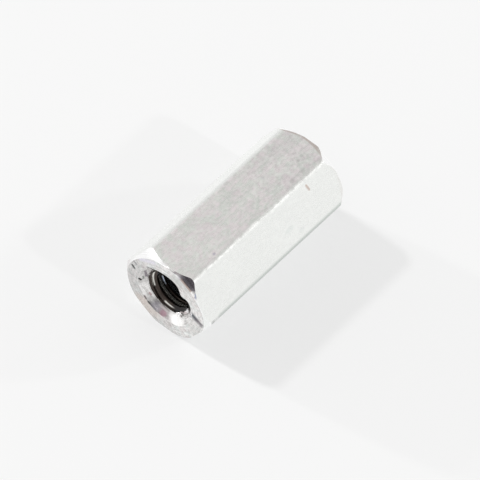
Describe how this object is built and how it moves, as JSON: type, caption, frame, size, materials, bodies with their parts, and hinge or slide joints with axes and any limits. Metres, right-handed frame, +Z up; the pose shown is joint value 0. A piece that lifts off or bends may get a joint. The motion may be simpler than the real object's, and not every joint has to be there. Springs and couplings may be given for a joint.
{
  "type": "hex standoff",
  "caption": "Short hexagonal aluminium spacer with chamfered ends and a threaded, countersunk bore right through, lying on one flat.",
  "frame": {"origin": "on the bore's axis, half-way between the two end faces", "axes": "+X along the bore, +Z up out of the top flat, +Y across the bar towards a corner"},
  "size_m": [0.012, 0.0064, 0.0054],
  "materials": {
    "aluminium": "bright, lightly grained as drawn bar, with turned ends"
  },
  "bodies": {
    "root": {"hex_standoff": "aluminium"}
  },
  "joints": []
}
